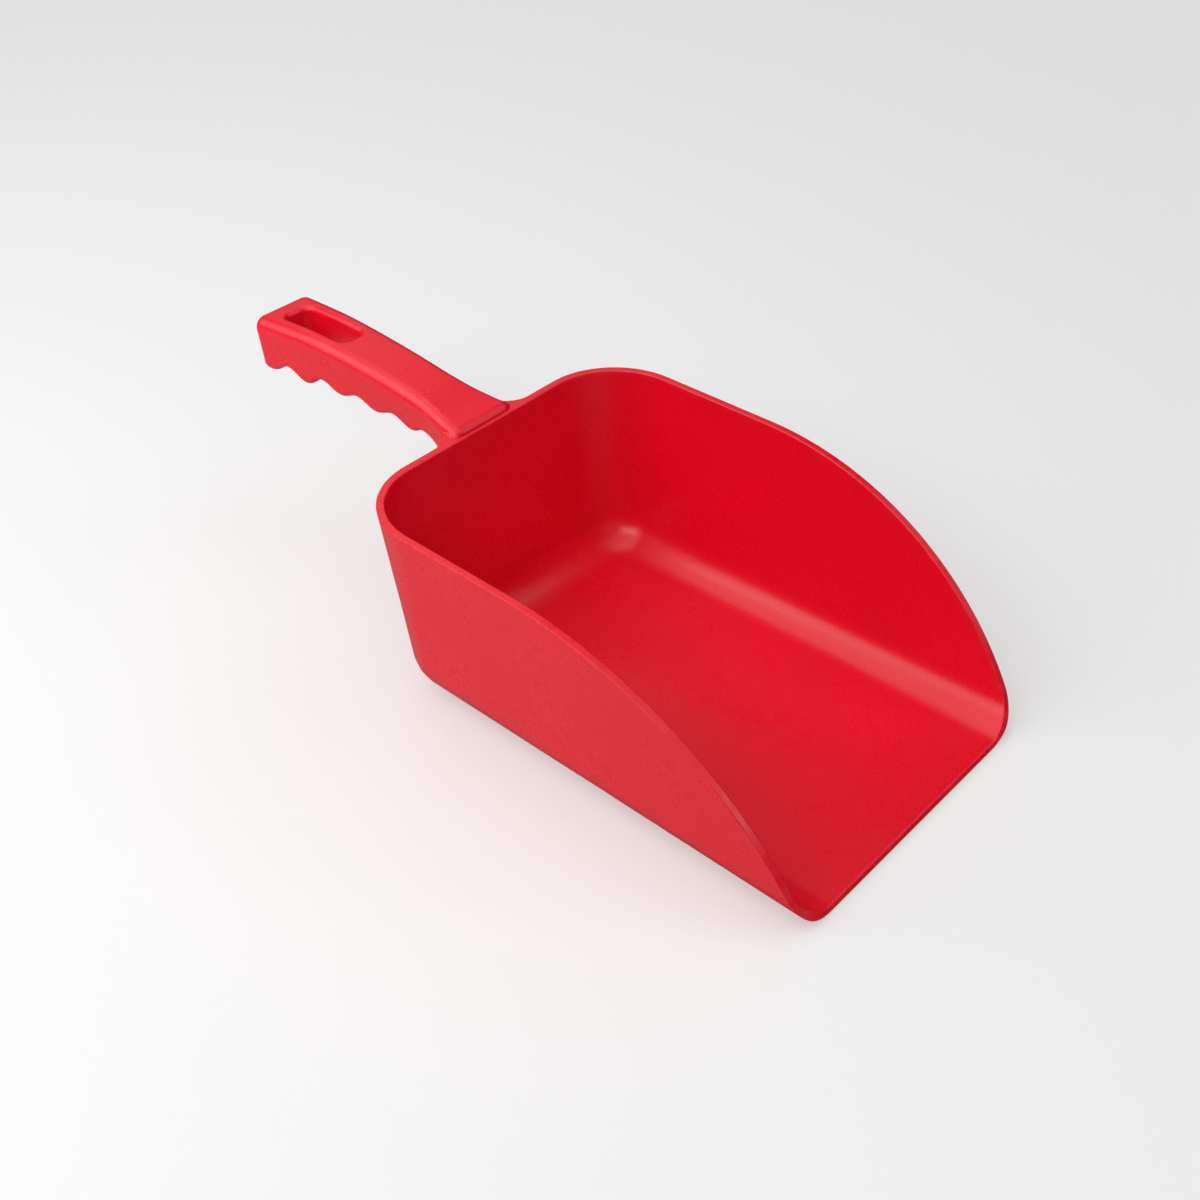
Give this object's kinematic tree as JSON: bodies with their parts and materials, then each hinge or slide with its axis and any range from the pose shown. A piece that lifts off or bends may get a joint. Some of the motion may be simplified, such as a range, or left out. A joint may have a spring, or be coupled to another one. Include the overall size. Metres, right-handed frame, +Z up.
{
  "type": "feed scoop",
  "caption": "One-piece moulded hand scoop: an open-fronted tub with rounded corners and a swept rim, and a handle with finger grooves underneath and a slot to hang it by.",
  "frame": {"origin": "centre of the flat underside of the bowl, which the scoop rests on", "axes": "+X along the scoop from the handle to the lip, +Y across the scoop, +Z up"},
  "size_m": [0.3546, 0.1632, 0.0991],
  "materials": {
    "red_polypropylene": "satin, coloured through"
  },
  "bodies": {
    "root": {"bowl": "red_polypropylene", "handle": "red_polypropylene"}
  },
  "joints": []
}
